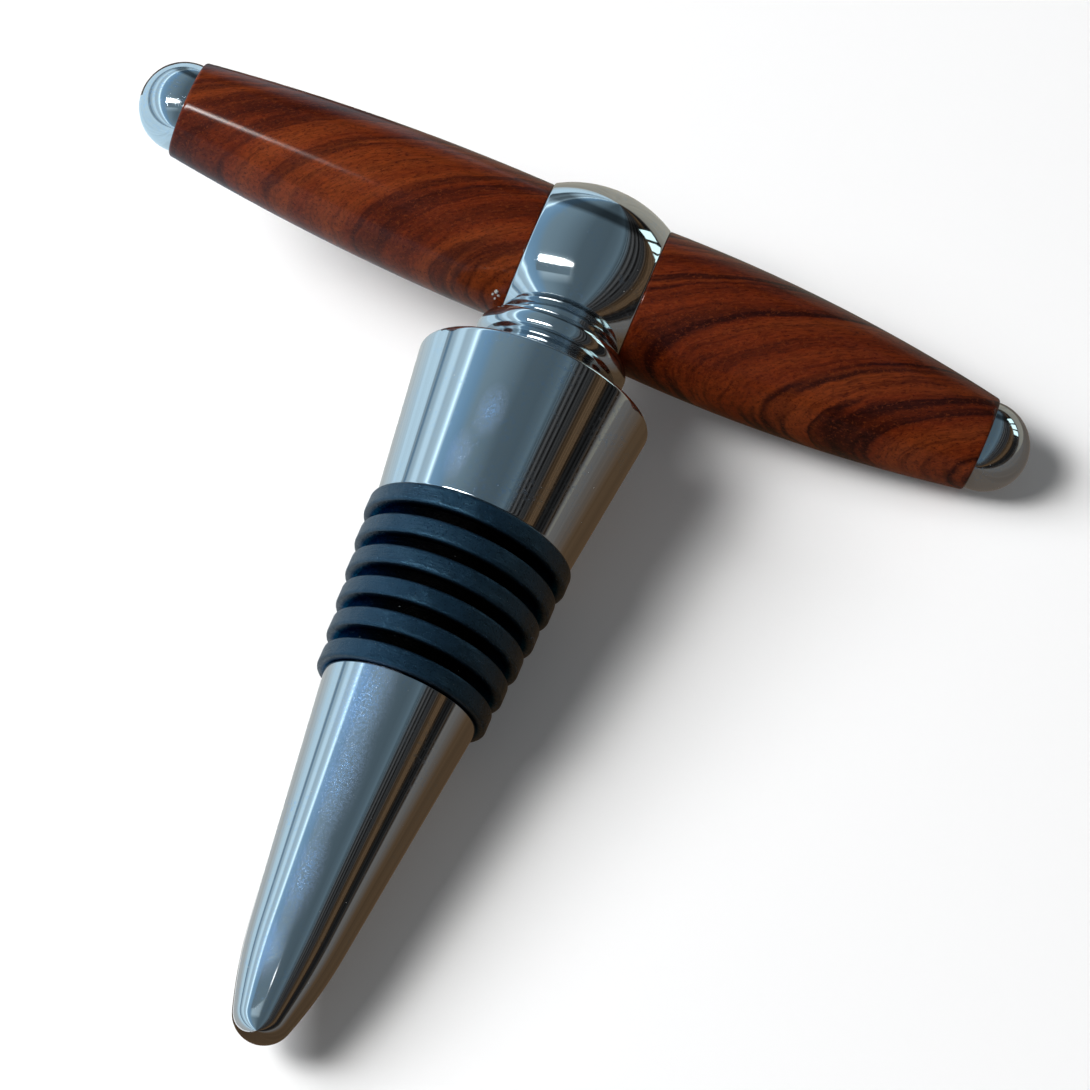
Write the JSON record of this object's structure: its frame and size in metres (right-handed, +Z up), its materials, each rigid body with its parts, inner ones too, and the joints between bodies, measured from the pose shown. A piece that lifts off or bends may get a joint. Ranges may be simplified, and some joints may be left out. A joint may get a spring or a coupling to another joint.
{
  "type": "bottle stopper",
  "caption": "Reusable bottle stopper: chrome-plated tapered plug with a ribbed black rubber seal and a wooden cross handle with domed metal ends.",
  "frame": {"origin": "middle of the footprint of the lying stopper's box, on the surface that it rests on", "axes": "+Z up from the surface; the handle runs along X, with its low end, which touches the surface, towards +X; the stem points towards -Y with its nose a little down"},
  "size_m": [0.0936, 0.0936, 0.0264],
  "materials": {
    "chrome": "polished chrome plate with fine scuffs, smudges and dust",
    "grip_wood": "lacquered reddish-brown hardwood with dark streaks",
    "seal_rubber": "matte black rubber with dust",
    "steel": "plain turned steel, hidden inside"
  },
  "bodies": {
    "root": {"hub": "chrome", "stopper_body": "chrome", "left_cap": "chrome", "right_cap": "chrome", "left_grip": "grip_wood", "right_grip": "grip_wood", "rubber_sleeve": "seal_rubber", "handle_rod": "steel", "joining_stud": "steel"}
  },
  "joints": []
}
